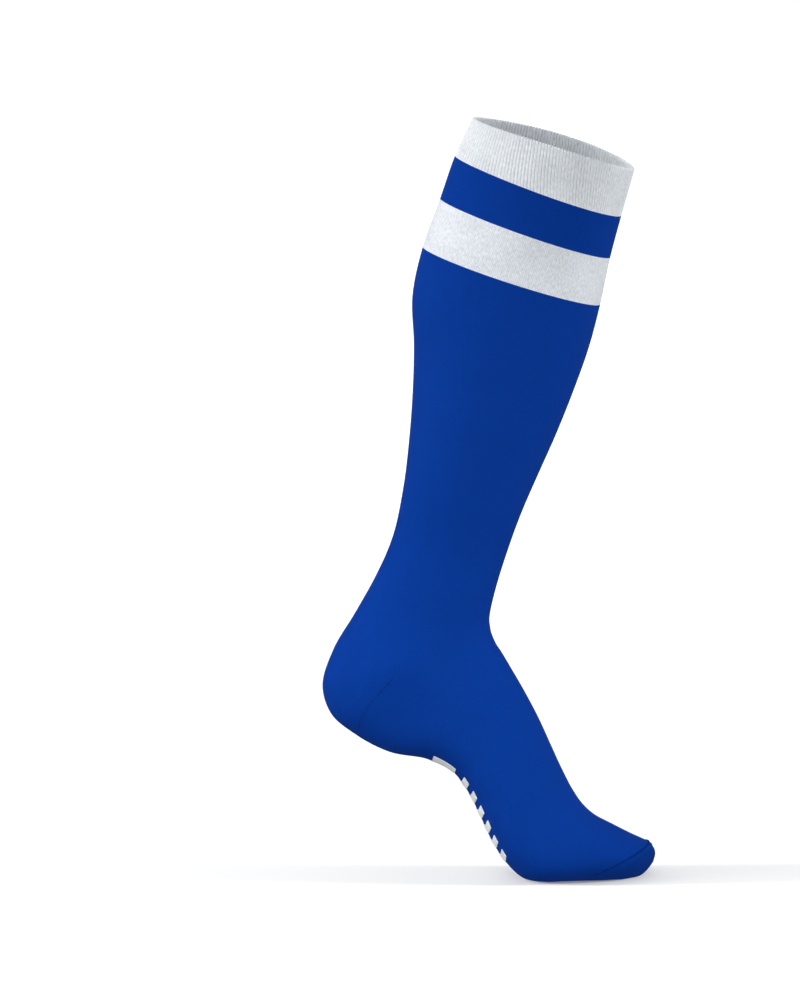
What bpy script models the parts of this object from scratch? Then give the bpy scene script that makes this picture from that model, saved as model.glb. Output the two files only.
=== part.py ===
"""Knee sock for a right foot, standing on the ball of the foot with its heel raised.

Metres, +Z up, +X towards the toes, -Y the outer (little toe) side of the leg.
The origin is the middle of the sock's mouth.
The sock is one smooth tube of cross-sections that bends at the heel. Each piece
is a stretch of that tube, made as an open surface and given its wall by Solidify.
"""

import math
from collections import namedtuple
from functools import lru_cache

import bmesh
import bpy
import numpy as np

# Driving sizes of the leg
LEG_LENGTH = 0.3099  # from the crease in front of the ankle straight up to the middle of the mouth
CUFF_DEPTH = 0.108  # front to back, across the mouth
CUFF_WIDTH = 0.090  # side to side, across the mouth
MOUTH_CROWN = 0.0025  # how much higher the mouth's edge stands at its sides than at front and back
CALF_DEPTH = 0.1185
CALF_WIDTH = 0.097
ANKLE_DEPTH = 0.0735
ANKLE_WIDTH = 0.058

# Driving sizes of the foot
FOOT_LENGTH = 0.210  # level distance from the back of the heel to the tip of the toes
CREASE_HEIGHT = 0.160  # from the floor up to the crease in front of the ankle
HEEL_WIDTH = 0.066
BALL_WIDTH = 0.095
TOE_TURN = 0.017  # how far the tip of the toes lies to the big toe's side

# Heights of the knitted bands, measured down the middle of the leg
CUFF_HEIGHT = 0.0292
UPPER_STRIPE_HEIGHT = 0.0282
LOWER_STRIPE_HEIGHT = 0.0317

# Walls and clearances
CUFF_WALL = 0.0022
LEG_WALL = 0.0016
FOOT_WALL = 0.0018
PIECE_GAP = 0.0004

# Ribs round the cuff
RIB_PITCH = 0.0021
RIB_RELIEF = 0.0005

# Ankle bones under the knit
ANKLE_BONE_RISE = 0.004
ANKLE_BONE_SPREAD = 0.019
LEAST_RISE = 0.00003  # the bones' effect ends where it would lift the knit by less than this

# Ridge across the toes, where the toe cap is linked on
SEAM_RADIUS = 0.0007
SEAM_TAPER = 0.35

# Plain white bars knitted across the arch of the sole
BAR_COUNT = 7
BROAD_BAR_LENGTH = 0.0168  # heel to toe, of the broad bar nearest the heel
BROAD_BAR_GAP = 0.0068  # from the broad bar to the next one
BAR_LENGTH = 0.0056  # heel to toe, of each of the other bars
BAR_GAP = 0.0049
FIRST_BAR_WIDTH = 0.048  # side to side, round the sole, nearest the heel
LAST_BAR_WIDTH = 0.066  # nearest the ball of the foot
BAR_LEAN = 0.0028  # how much nearer to the heel a bar's ends lie than its middle
BAR_LEAN_REACH = 0.009  # the stretch at each end of a bar that leans
BAR_WALL = 0.0005
BAR_LIFT = 0.0005  # the gap over the smooth sole, which clears the flats of the foot's faces

# Where the heel pocket and the bars begin and end, as shares of the way from a named section of
# the foot to the next one, and where the seam's ends lie, as a share of the way round
HEEL_START_SHARE = 0.5
HEEL_END_SHARE = 0.7
BAR_START_SHARE = 0.15
SEAM_SHARE = 0.2

# How finely the surfaces are divided
COLUMNS = 32
HEEL_CORNER_COLUMN = 7
EDGE_STRIP = 0.0008
LEG_ROW_STEP = 0.0165
HEEL_ROW_STEP = 0.0065
FOOT_ROW_STEP = 0.0085
TOE_ROW_STEP = 0.0075
SEAM_POINTS = 25
SECTION_SAMPLES = 96
SLOPE_STEP = 0.0005

COLLECTION = "knee_sock"
KNIT_ROUGHNESS = 0.85

ROYAL_BLUE = (0.006, 0.045, 0.32, 1.0)
WHITE = (0.86, 0.87, 0.89, 1.0)

LEG_DEPTHS = {"cuff": CUFF_DEPTH, "calf": CALF_DEPTH, "ankle": ANKLE_DEPTH}
LEG_WIDTHS = {"cuff": CUFF_WIDTH, "calf": CALF_WIDTH, "ankle": ANKLE_WIDTH}
FOOT_WIDTHS = {"heel": HEEL_WIDTH, "ball": BALL_WIDTH}

# Sections down the leg. height and forward place the middle, as shares of the leg's length from
# the ankle crease. depth and width are shares of the size that the row follows, and tilt is the
# slope of the section in degrees. square is 2 for an ellipse and more for a squarer section, and
# egg is how much wider the section is at the back than at the front.
LegRow = namedtuple("LegRow", "height forward tilt follows depth width square egg")
LEG_ROWS = [
    LegRow(1.000, 0.1297, -17.5, "cuff", 1.000, 1.00, 2.0, -0.18),
    LegRow(0.911, 0.0976, -19.8, "cuff", 1.040, 1.02, 2.0, -0.10),
    LegRow(0.823, 0.0707, -19.1, "calf", 0.965, 0.96, 2.0, -0.05),
    LegRow(0.725, 0.0428, -18.0, "calf", 1.000, 0.99, 2.0, 0.00),
    LegRow(0.631, 0.0209, -16.2, "calf", 0.985, 1.00, 2.0, 0.04),
    LegRow(0.537, 0.0070, -15.8, "calf", 0.891, 0.96, 2.0, 0.08),
    LegRow(0.439, -0.0129, -15.7, "calf", 0.798, 0.90, 2.0, 0.10),
    LegRow(0.355, -0.0329, -13.4, "calf", 0.720, 0.81, 2.0, 0.10),
    LegRow(0.261, -0.0577, -11.0, "ankle", 1.045, 1.17, 2.1, 0.08),
    LegRow(0.170, -0.0836, -7.5, "ankle", 1.000, 1.00, 2.1, 0.05),
    LegRow(0.0925, -0.1125, -5.7, "ankle", 1.047, 1.00, 2.1, 0.03),
    LegRow(0.025, -0.1404, -0.8, "ankle", 1.172, 1.03, 2.1, 0.03),
]

# Sections round the heel and along the foot. Each spans from a point of the sole's outline to a
# point of the instep's: x is a share of the foot's length from the back of the heel, z a share of
# the crease's height from the floor. width is a share of the size that the row follows. aside
# is a share of the turn of the toes.
FootRow = namedtuple("FootRow", "name sole_x sole_z top_x top_z follows width square egg aside")
FOOT_ROWS = [
    FootRow("crease", 0.022, 0.904, 0.500, 1.000, "heel", 0.96, 2.10, 0.05, 0.00),
    FootRow("heel back", -0.008, 0.772, 0.505, 0.972, "heel", 1.00, 2.10, 0.08, 0.00),
    FootRow("heel tip", 0.018, 0.656, 0.517, 0.936, "heel", 0.99, 2.15, 0.10, 0.00),
    FootRow("heel base", 0.094, 0.572, 0.535, 0.900, "heel", 0.98, 2.15, 0.12, -0.02),
    FootRow("heel front", 0.193, 0.506, 0.562, 0.840, "heel", 0.97, 2.20, 0.12, -0.06),
    FootRow("arch back", 0.303, 0.480, 0.601, 0.752, "ball", 0.695, 2.20, 0.12, -0.10),
    FootRow("arch", 0.379, 0.435, 0.644, 0.645, "ball", 0.735, 2.25, 0.13, -0.12),
    FootRow("arch middle", 0.427, 0.359, 0.683, 0.532, "ball", 0.80, 2.30, 0.15, -0.10),
    FootRow("arch front", 0.468, 0.254, 0.719, 0.428, "ball", 0.865, 2.30, 0.17, -0.06),
    FootRow("ball back", 0.504, 0.153, 0.752, 0.344, "ball", 0.925, 2.35, 0.18, 0.00),
    FootRow("ball rise", 0.545, 0.069, 0.783, 0.286, "ball", 0.98, 2.40, 0.18, 0.04),
    FootRow("ball", 0.597, 0.006, 0.820, 0.243, "ball", 1.00, 2.40, 0.18, 0.08),
    FootRow("toe roots", 0.655, -0.010, 0.868, 0.209, "ball", 0.99, 2.40, 0.18, 0.14),
    FootRow("toes", 0.700, -0.011, 0.924, 0.171, "ball", 0.95, 2.25, 0.14, 0.22),
    FootRow("toe seam", 0.734, -0.014, 0.980, 0.136, "ball", 0.89, 2.10, 0.08, 0.34),
    FootRow("toe cap", 0.842, -0.014, 0.9925, 0.116, "ball", 0.80, 2.10, 0.06, 0.52),
    FootRow("toe front", 0.909, -0.012, 0.999, 0.096, "ball", 0.61, 2.15, 0.06, 0.70),
    FootRow("toe nose", 0.964, 0.010, 0.999, 0.075, "ball", 0.36, 2.10, 0.05, 0.88),
    FootRow("toe tip", 0.994, 0.048, 0.994, 0.048, "ball", 0.00, 2.00, 0.00, 1.00),
]

# The two ankle bones: the section each lies on, its side, and how far ahead of the section's back
# point it lies, as a share of the section's depth
AnkleBone = namedtuple("AnkleBone", "section side ahead")
ANKLE_BONES = [
    AnkleBone("heel back", -1, 0.42),
    AnkleBone("crease", 1, 0.50),
]

FLOOR_Z = -(LEG_LENGTH + CREASE_HEIGHT)
CREASE_X = FOOT_LENGTH * FOOT_ROWS[0].top_x
MOUTH_X = CREASE_X + LEG_LENGTH * LEG_ROWS[0].forward

Section = namedtuple("Section", "back_x back_z front_x front_z width square egg aside")


def leg_section(row):
    """The section of one row of the leg, with its front and back points worked out."""
    half_depth = LEG_DEPTHS[row.follows] * row.depth / 2
    tilt = math.radians(row.tilt)
    middle_x = CREASE_X + LEG_LENGTH * row.forward - MOUTH_X
    middle_z = LEG_LENGTH * (row.height - 1)
    return Section(
        middle_x - half_depth * math.cos(tilt),
        middle_z - half_depth * math.sin(tilt),
        middle_x + half_depth * math.cos(tilt),
        middle_z + half_depth * math.sin(tilt),
        LEG_WIDTHS[row.follows] * row.width,
        row.square,
        row.egg,
        0.0,
    )


def foot_section(row):
    """The section of one row of the heel or foot, in the frame of the mouth."""
    return Section(
        FOOT_LENGTH * row.sole_x - MOUTH_X,
        FLOOR_Z + CREASE_HEIGHT * row.sole_z,
        FOOT_LENGTH * row.top_x - MOUTH_X,
        FLOOR_Z + CREASE_HEIGHT * row.top_z,
        FOOT_WIDTHS[row.follows] * row.width,
        row.square,
        row.egg,
        TOE_TURN * row.aside,
    )


SECTIONS = np.array([leg_section(row) for row in LEG_ROWS] + [foot_section(row) for row in FOOT_ROWS])


def section_stations():
    """How far along the middle of the tube each section lies, counted from the mouth."""
    middles = (SECTIONS[:, 0:2] + SECTIONS[:, 2:4]) / 2
    steps = np.linalg.norm(np.diff(middles, axis=0), axis=1)
    return np.concatenate([[0.0], np.cumsum(steps)])


def section_slopes(stations):
    """How fast each column of the section table changes at each section, for a smooth blend."""
    steps = np.diff(stations)[:, None]
    rates = np.diff(SECTIONS, axis=0) / steps
    inner = (rates[:-1] * steps[1:] + rates[1:] * steps[:-1]) / (steps[:-1] + steps[1:])
    return np.vstack([rates[:1], inner, rates[-1:]])


STATIONS = section_stations()
SLOPES = section_slopes(STATIONS)


def station_of(name, share=0.0):
    """The station of a named row of the foot, or a share of the way on to the next row."""
    index = len(LEG_ROWS) + [row.name for row in FOOT_ROWS].index(name)
    if share == 0.0:
        return float(STATIONS[index])
    return float(STATIONS[index] + share * (STATIONS[index + 1] - STATIONS[index]))


def section_at(station):
    """The section at any station, blended smoothly between the rows on either side."""
    index = int(np.clip(np.searchsorted(STATIONS, station) - 1, 0, len(STATIONS) - 2))
    step = STATIONS[index + 1] - STATIONS[index]
    t = (station - STATIONS[index]) / step
    start = SECTIONS[index] * (2 * t**3 - 3 * t**2 + 1) + SLOPES[index] * step * (t**3 - 2 * t**2 + t)
    end = SECTIONS[index + 1] * (3 * t**2 - 2 * t**3) + SLOPES[index + 1] * step * (t**3 - t**2)
    return Section(*(start + end))


@lru_cache(maxsize=None)
def section_ring(station):
    """Points round one section from the back over the outer side to the front, and each one's share."""
    section = section_at(station)
    angle = np.linspace(0.0, 2 * math.pi, SECTION_SAMPLES + 1)
    power = 2 / section.square
    along = -np.sign(np.cos(angle)) * np.abs(np.cos(angle)) ** power
    across = -np.sign(np.sin(angle)) * np.abs(np.sin(angle)) ** power
    half_width = max(section.width, 0.0) / 2 * (1 - section.egg * along)
    x = (section.back_x + section.front_x) / 2 + (section.front_x - section.back_x) / 2 * along
    y = section.aside + half_width * across
    z = (section.back_z + section.front_z) / 2 + (section.front_z - section.back_z) / 2 * along
    points = np.column_stack([x, y, np.maximum(z, FLOOR_Z)])
    reach = np.concatenate([[0.0], np.cumsum(np.linalg.norm(np.diff(points, axis=0), axis=1))])
    return points, reach


def ring_point(station, share):
    """The point of the plain tube at a station and a share of the way round."""
    points, reach = section_ring(station)
    wanted = (share % 1.0) * reach[-1]
    return np.array([np.interp(wanted, reach, points[:, axis]) for axis in range(3)])


def girth(station):
    """The length all the way round a section."""
    return section_ring(station)[1][-1]


def surface_slopes(station, share):
    """How the plain tube runs along and round at a point."""
    turn = SLOPE_STEP / max(girth(station), SLOPE_STEP)
    down = ring_point(station + SLOPE_STEP, share) - ring_point(station - SLOPE_STEP, share)
    around = ring_point(station, share + turn) - ring_point(station, share - turn)
    return down / (2 * SLOPE_STEP), around


def outward(station, share):
    """The direction that points away from the foot at a point of the tube."""
    down, around = surface_slopes(station, share)
    normal = np.cross(down, around)
    return normal / np.linalg.norm(normal)


def ankle_bone_rise(point):
    """How far the knit is pushed out by the two ankle bones at a point."""
    rise = 0.0
    for bone in ANKLE_BONES:
        section = section_at(station_of(bone.section))
        peak = np.array(
            [
                section.back_x + bone.ahead * (section.front_x - section.back_x),
                bone.side * section.width / 2,
                section.back_z + bone.ahead * (section.front_z - section.back_z),
            ]
        )
        away = np.linalg.norm(point - peak) / ANKLE_BONE_SPREAD
        rise += ANKLE_BONE_RISE * math.exp(-away * away)
    return rise


def knit_point(station, share):
    """The point of the sock's outer surface at a station and a share of the way round."""
    point = ring_point(station, share)
    rise = ankle_bone_rise(point)
    if rise < LEAST_RISE:
        return point
    return point + outward(station, share) * rise


def lifted_point(station, share, lift):
    """A point held above the outer surface by a set height."""
    return knit_point(station, share) + outward(station, share) * lift


def edge_row(station, shares, inset, slanted=False):
    """A row of places that keeps a set distance from a boundary, measured square to it.

    Each place is a station and a share of the way round. Where the boundary is slanted, its
    places also slide round the foot, so that they lie straight across from the boundary's own.
    """
    row = []
    for share in shares:
        down, around = surface_slopes(station, share)
        along = around / np.linalg.norm(around)
        slide = float(np.dot(down, along))
        step = inset / np.linalg.norm(down - slide * along)
        turn = slide * step / girth(station) if slanted else 0.0
        row.append((station + step, share - turn))
    return np.array(row)


def level_row(station, shares):
    """A row of places at one station."""
    return np.array([(station, share) for share in shares])


def rows_between(start, end, count):
    """Rows blended evenly from one row of places to another, with both of them."""
    return [start + (end - start) * index / count for index in range(count + 1)]


def piece_rows(first, last, shares, step, strips=(True, True), slanted=False):
    """The rows of places of a piece, from one boundary to the next.

    Half the gap between pieces is kept free at each boundary, and a narrow strip follows a
    boundary where the surface bends, so that the walls on both sides of the gap stay parallel.
    """
    half_gap = PIECE_GAP / 2
    outer_start = edge_row(first, shares, half_gap)
    outer_end = edge_row(last, shares, -half_gap, slanted)
    start = edge_row(first, shares, half_gap + EDGE_STRIP) if strips[0] else outer_start
    end = edge_row(last, shares, -half_gap - EDGE_STRIP, slanted) if strips[1] else outer_end
    rows = rows_between(start, end, max(1, round((last - first) / step)))
    if strips[0]:
        rows.insert(0, outer_start)
    if strips[1]:
        rows.append(outer_end)
    return rows


def material(name, colour):
    """A plain knit finish with its own colour."""
    finish = bpy.data.materials.new(name)
    finish.use_nodes = True
    shader = finish.node_tree.nodes["Principled BSDF"]
    shader.inputs["Base Color"].default_value = colour
    shader.inputs["Roughness"].default_value = KNIT_ROUGHNESS
    shader.inputs["Metallic"].default_value = 0.0
    finish.diffuse_color = colour
    return finish


def add_object(name, data, colour):
    """Puts a mesh or curve into the sock's collection with a finish of its own."""
    data.materials.append(material(name + "_knit", colour))
    piece = bpy.data.objects.new(name, data)
    bpy.data.collections[COLLECTION].objects.link(piece)
    return piece


def add_shell(name, grid, wall, colour, closed=True, keeps=None, tip=None):
    """A piece of knit: a grid of surface points made into an open surface, then given its wall.

    grid is a list of rows of points. closed says whether the columns run all the way round, keeps
    says which cells of the grid are part of the piece, and tip closes the last row to a point.
    A positive wall grows inwards from the surface, and a negative one outwards.
    """
    shape = bmesh.new()
    vertices = {}

    def vertex(row, column):
        """The vertex of a grid point, made the first time that a cell asks for it."""
        if (row, column) not in vertices:
            vertices[row, column] = shape.verts.new(grid[row][column])
        return vertices[row, column]

    columns = len(grid[0])
    cells = columns if closed else columns - 1
    for row in range(len(grid) - 1):
        for column in range(cells):
            if keeps is None or keeps(row, column):
                right = (column + 1) % columns
                corners = [(row, column), (row + 1, column), (row + 1, right), (row, right)]
                shape.faces.new([vertex(*corner) for corner in corners])
    if tip is not None:
        point = shape.verts.new(tip)
        last = len(grid) - 1
        for column in range(columns):
            shape.faces.new([vertex(last, column), point, vertex(last, (column + 1) % columns)])
    mesh = bpy.data.meshes.new(name)
    shape.to_mesh(mesh)
    shape.free()
    mesh.shade_smooth()
    piece = add_object(name, mesh, colour)
    solidify = piece.modifiers.new("Wall", "SOLIDIFY")
    solidify.thickness = wall
    solidify.offset = -1.0
    return piece


def knit_grid(rows):
    """The points of the outer surface for rows of places."""
    return [[knit_point(station, share) for station, share in row] for row in rows]


def even_shares():
    """The columns of a plain stretch of tube."""
    return [column / COLUMNS for column in range(COLUMNS)]


def corner_shares(side):
    """The two side lines where the heel pocket meets the instep, half a gap to one side of them."""
    corner = HEEL_CORNER_COLUMN / COLUMNS
    half_gap = side * PIECE_GAP / 2 / girth(station_of("heel tip"))
    return corner + half_gap, 1 - corner - half_gap


def make_cuff(first, last):
    """The ribbed white cuff, with one fold out and one fold in for each rib."""
    ribs = round(girth(first) / RIB_PITCH)
    shares = [fold / (2 * ribs) for fold in range(2 * ribs)]
    mouth = [(first - MOUTH_CROWN * math.sin(2 * math.pi * share) ** 2, share) for share in shares]
    rows = [
        mouth,
        level_row((first + last) / 2, shares),
        edge_row(last, shares, -PIECE_GAP / 2),
    ]
    grid = []
    for row in rows:
        lifts = [-RIB_RELIEF * (fold % 2) for fold in range(len(shares))]
        grid.append([lifted_point(*place, lift) for place, lift in zip(row, lifts)])
    add_shell("cuff", grid, CUFF_WALL, WHITE)


def make_tube(name, first, last, colour, strips):
    """A plain stretch of the leg between two boundaries."""
    shares = even_shares()
    rows = piece_rows(first, last, shares, LEG_ROW_STEP, strips)
    add_shell(name, knit_grid(rows), LEG_WALL, colour)


def make_heel(first, last):
    """The heel pocket: the back half of the tube, between its two corners."""
    low, high = corner_shares(-1)
    strip = EDGE_STRIP / girth(station_of("heel tip"))
    inner = [column / COLUMNS for column in range(1 - HEEL_CORNER_COLUMN, HEEL_CORNER_COLUMN)]
    shares = [high - 1, high - 1 + strip] + inner + [low - strip, low]
    rows = piece_rows(first, last, shares, HEEL_ROW_STEP)
    add_shell("heel", knit_grid(rows), FOOT_WALL, ROYAL_BLUE, closed=False)


def foot_shares():
    """The columns of the foot and toe cap, with narrow strips inside the corners of the heel."""
    low, high = corner_shares(1)
    strip = EDGE_STRIP / girth(station_of("heel tip"))
    plain = even_shares()
    far_corner = COLUMNS - HEEL_CORNER_COLUMN
    instep = [low, low + strip] + plain[HEEL_CORNER_COLUMN + 1 : far_corner] + [high - strip, high]
    return plain[:HEEL_CORNER_COLUMN] + instep + plain[far_corner + 1 :]


def make_foot(first, heel_end, last):
    """The foot with its instep, whose tongue runs up past the heel pocket to the leg."""
    shares = foot_shares()
    low, high = corner_shares(1)
    tongue = piece_rows(first, heel_end, shares, HEEL_ROW_STEP, (True, False))[:-1]
    sole = piece_rows(heel_end, last, shares, FOOT_ROW_STEP, slanted=True)
    tongue_columns = range(shares.index(low), shares.index(high))

    def keeps(row, column):
        """The whole ring beyond the heel, and only the instep beside it."""
        return row >= len(tongue) or column in tongue_columns

    add_shell("foot", knit_grid(tongue + sole), FOOT_WALL, ROYAL_BLUE, keeps=keeps)


def make_toe_cap(first, last):
    """The toe cap, closed at the tip of the toes."""
    shares = foot_shares()
    half_gap = PIECE_GAP / 2
    start = edge_row(first, shares, half_gap + EDGE_STRIP, slanted=True)
    end = level_row(last - TOE_ROW_STEP / 2, shares)
    rows = [edge_row(first, shares, half_gap, slanted=True)]
    rows += rows_between(start, end, round((last - first) / TOE_ROW_STEP))
    tip = ring_point(last, 0.0)
    add_shell("toe_cap", knit_grid(rows), FOOT_WALL, ROYAL_BLUE, tip=tip)


def make_toe_seam(station):
    """The ridge that crosses the toes from side to side, over the joint of foot and toe cap."""
    line = bpy.data.curves.new("toe_seam", "CURVE")
    line.dimensions = "3D"
    line.resolution_u = 1
    line.render_resolution_u = 0
    line.bevel_depth = SEAM_RADIUS
    line.bevel_resolution = 1
    line.use_fill_caps = True
    path = line.splines.new("POLY")
    path.points.add(SEAM_POINTS - 1)
    for index, point in enumerate(path.points):
        share = SEAM_SHARE + (1 - 2 * SEAM_SHARE) * index / (SEAM_POINTS - 1)
        place = lifted_point(station, share, SEAM_RADIUS + PIECE_GAP)
        from_end = min(index, SEAM_POINTS - 1 - index)
        point.co = (*place, 1.0)
        point.radius = min(1.0, SEAM_TAPER + from_end * SEAM_TAPER)
    add_object("toe_seam", line, ROYAL_BLUE)


def sole_station(start, distance):
    """The station that lies a set distance along the middle of the sole from another station."""
    stations = np.arange(start, STATIONS[-1], SLOPE_STEP)
    line = np.array([ring_point(station, 0.0) for station in stations])
    walked = np.concatenate([[0.0], np.cumsum(np.linalg.norm(np.diff(line, axis=0), axis=1))])
    return float(np.interp(distance, walked, stations))


def make_sole_bar(number, start, walked, length):
    """One bar across the sole, a thin strip held just off it, whose ends lean towards the heel."""
    width = FIRST_BAR_WIDTH + (LAST_BAR_WIDTH - FIRST_BAR_WIDTH) * number / (BAR_COUNT - 1)
    round_sole = girth(sole_station(start, walked))
    half_share = width / 2 / round_sole
    whole = math.ceil(half_share * COLUMNS) - 1
    inner = [column / COLUMNS for column in range(-whole, whole + 1)]
    shares = [-half_share] + inner + [half_share]
    past = [BAR_LEAN_REACH - (half_share - abs(share)) * round_sole for share in shares]
    leans = [BAR_LEAN * max(reach, 0.0) / BAR_LEAN_REACH for reach in past]
    steps = round(length / BAR_LENGTH)
    grid = []
    for step in range(steps + 1):
        station = sole_station(start, walked + length * step / steps)
        places = zip(leans, shares)
        grid.append([lifted_point(station - lean, share, BAR_LIFT) for lean, share in places])
    add_shell(f"sole_bar_{number + 1}", grid, -BAR_WALL, WHITE, closed=False)


def make_sole_bars(start):
    """The row of plain white bars across the arch: a broad one, then the narrow ones."""
    make_sole_bar(0, start, 0.0, BROAD_BAR_LENGTH)
    walked = BROAD_BAR_LENGTH + BROAD_BAR_GAP
    for number in range(1, BAR_COUNT):
        make_sole_bar(number, start, walked, BAR_LENGTH)
        walked += BAR_LENGTH + BAR_GAP


def clear_scene():
    """Empties the scene and makes the sock's collection."""
    for old in list(bpy.data.objects):
        bpy.data.objects.remove(old, do_unlink=True)
    bpy.context.scene.collection.children.link(bpy.data.collections.new(COLLECTION))


def main():
    """Builds every piece of the sock, from the mouth down to the toes."""
    clear_scene()
    cuff_end = CUFF_HEIGHT
    upper_end = cuff_end + UPPER_STRIPE_HEIGHT
    lower_end = upper_end + LOWER_STRIPE_HEIGHT
    heel_start = station_of("heel back", HEEL_START_SHARE)
    heel_end = station_of("heel base", HEEL_END_SHARE)
    seam = station_of("toe seam")
    make_cuff(0.0, cuff_end)
    make_tube("upper_stripe", cuff_end, upper_end, ROYAL_BLUE, (False, False))
    make_tube("lower_stripe", upper_end, lower_end, WHITE, (False, False))
    make_tube("leg", lower_end, heel_start, ROYAL_BLUE, (False, True))
    make_heel(heel_start, heel_end)
    make_foot(heel_start, heel_end, seam)
    make_toe_cap(seam, float(STATIONS[-1]))
    make_toe_seam(seam)
    make_sole_bars(station_of("arch back", BAR_START_SHARE))


main()
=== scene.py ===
"""Knee sock for a right foot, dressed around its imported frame.

The sock is one smooth tube of cross-sections from the mouth down to the toes. It stands on the
ball of the foot with the heel raised. Metres, +Z up, +X towards the toes, -Y the outer side.
A station is a distance down the middle of the tube from the mouth. A share is a part of the way
round it: 0 at the back and the sole, a quarter on the outer side, a half along the front.
"""

import logging
import math
from dataclasses import dataclass, field
from enum import Enum
from typing import NamedTuple

import bpy
import numpy as np
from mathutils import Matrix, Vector


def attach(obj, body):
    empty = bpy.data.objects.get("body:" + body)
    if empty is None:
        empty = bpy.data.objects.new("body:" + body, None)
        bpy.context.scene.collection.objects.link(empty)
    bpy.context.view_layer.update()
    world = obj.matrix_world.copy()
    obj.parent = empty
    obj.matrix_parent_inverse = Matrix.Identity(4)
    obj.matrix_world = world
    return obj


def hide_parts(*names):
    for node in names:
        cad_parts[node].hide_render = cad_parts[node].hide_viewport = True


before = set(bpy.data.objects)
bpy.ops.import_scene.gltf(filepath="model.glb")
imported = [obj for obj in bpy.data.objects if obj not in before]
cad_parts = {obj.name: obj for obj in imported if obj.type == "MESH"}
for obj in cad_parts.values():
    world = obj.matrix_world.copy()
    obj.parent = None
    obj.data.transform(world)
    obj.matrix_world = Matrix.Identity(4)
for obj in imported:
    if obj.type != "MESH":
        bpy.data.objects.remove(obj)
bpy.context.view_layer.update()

LOG = logging.getLogger("knee_sock")
UV_NAME = "knit"
TINY = 1e-12
# How many stitch columns of the cuff make one rib
COLUMNS_A_RIB = 2


class Slot(Enum):
    """The material slots of the record."""

    WHITE_RIB = "white_rib_knit"
    BLUE_KNIT = "royal_blue_knit"
    WHITE_KNIT = "white_knit"


def walked_along(line: np.ndarray) -> np.ndarray:
    """Measures how far along a line each of its points lies, from 0 at the first."""
    return np.concatenate([[0.0], np.cumsum(np.linalg.norm(np.diff(line, axis=0), axis=1))])


def values_at(wanted: np.ndarray, walked: np.ndarray, line: np.ndarray) -> np.ndarray:
    """Reads points or directions of a line at set distances along it."""
    return np.column_stack([np.interp(wanted, walked, line[:, axis]) for axis in range(3)])


def unit(vectors: np.ndarray) -> np.ndarray:
    """Brings vectors to a length of 1."""
    return vectors / np.maximum(np.linalg.norm(vectors, axis=-1, keepdims=True), TINY)


def add_object(name: str, data: bpy.types.ID) -> bpy.types.Object:
    """Makes an object and links it to the scene.

    Args:
        name: The object's name.
        data: Its mesh, light or camera.

    Returns:
        The object.
    """
    thing = bpy.data.objects.new(name, data)
    bpy.context.scene.collection.objects.link(thing)
    return thing


def point_along(thing: bpy.types.Object, direction: Vector) -> None:
    """Turns a camera or a light to look along a direction."""
    thing.rotation_mode = "QUATERNION"
    thing.rotation_quaternion = direction.to_track_quat("-Z", "Y")


class LegRow(NamedTuple):
    """One section down the leg, in shares of the leg's own sizes."""

    height: float
    forward: float
    tilt: float
    follows: str
    depth: float
    width: float
    square: float
    egg: float


class FootRow(NamedTuple):
    """One section of the heel or foot, from the sole's outline to the instep's."""

    name: str
    sole_x: float
    sole_z: float
    top_x: float
    top_z: float
    follows: str
    width: float
    square: float
    egg: float
    aside: float


LEG_ROWS = (
    LegRow(1.000, 0.1297, -17.5, "cuff", 1.000, 1.00, 2.0, -0.18),
    LegRow(0.911, 0.0976, -19.8, "cuff", 1.040, 1.02, 2.0, -0.10),
    LegRow(0.823, 0.0707, -19.1, "calf", 0.965, 0.96, 2.0, -0.05),
    LegRow(0.725, 0.0428, -18.0, "calf", 1.000, 0.99, 2.0, 0.00),
    LegRow(0.631, 0.0209, -16.2, "calf", 0.985, 1.00, 2.0, 0.04),
    LegRow(0.537, 0.0070, -15.8, "calf", 0.891, 0.96, 2.0, 0.08),
    LegRow(0.439, -0.0129, -15.7, "calf", 0.798, 0.90, 2.0, 0.10),
    LegRow(0.355, -0.0329, -13.4, "calf", 0.720, 0.81, 2.0, 0.10),
    LegRow(0.261, -0.0577, -11.0, "ankle", 1.045, 1.17, 2.1, 0.08),
    LegRow(0.170, -0.0836, -7.5, "ankle", 1.000, 1.00, 2.1, 0.05),
    LegRow(0.0925, -0.1125, -5.7, "ankle", 1.047, 1.00, 2.1, 0.03),
    LegRow(0.025, -0.1404, -0.8, "ankle", 1.172, 1.03, 2.1, 0.03),
)

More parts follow.
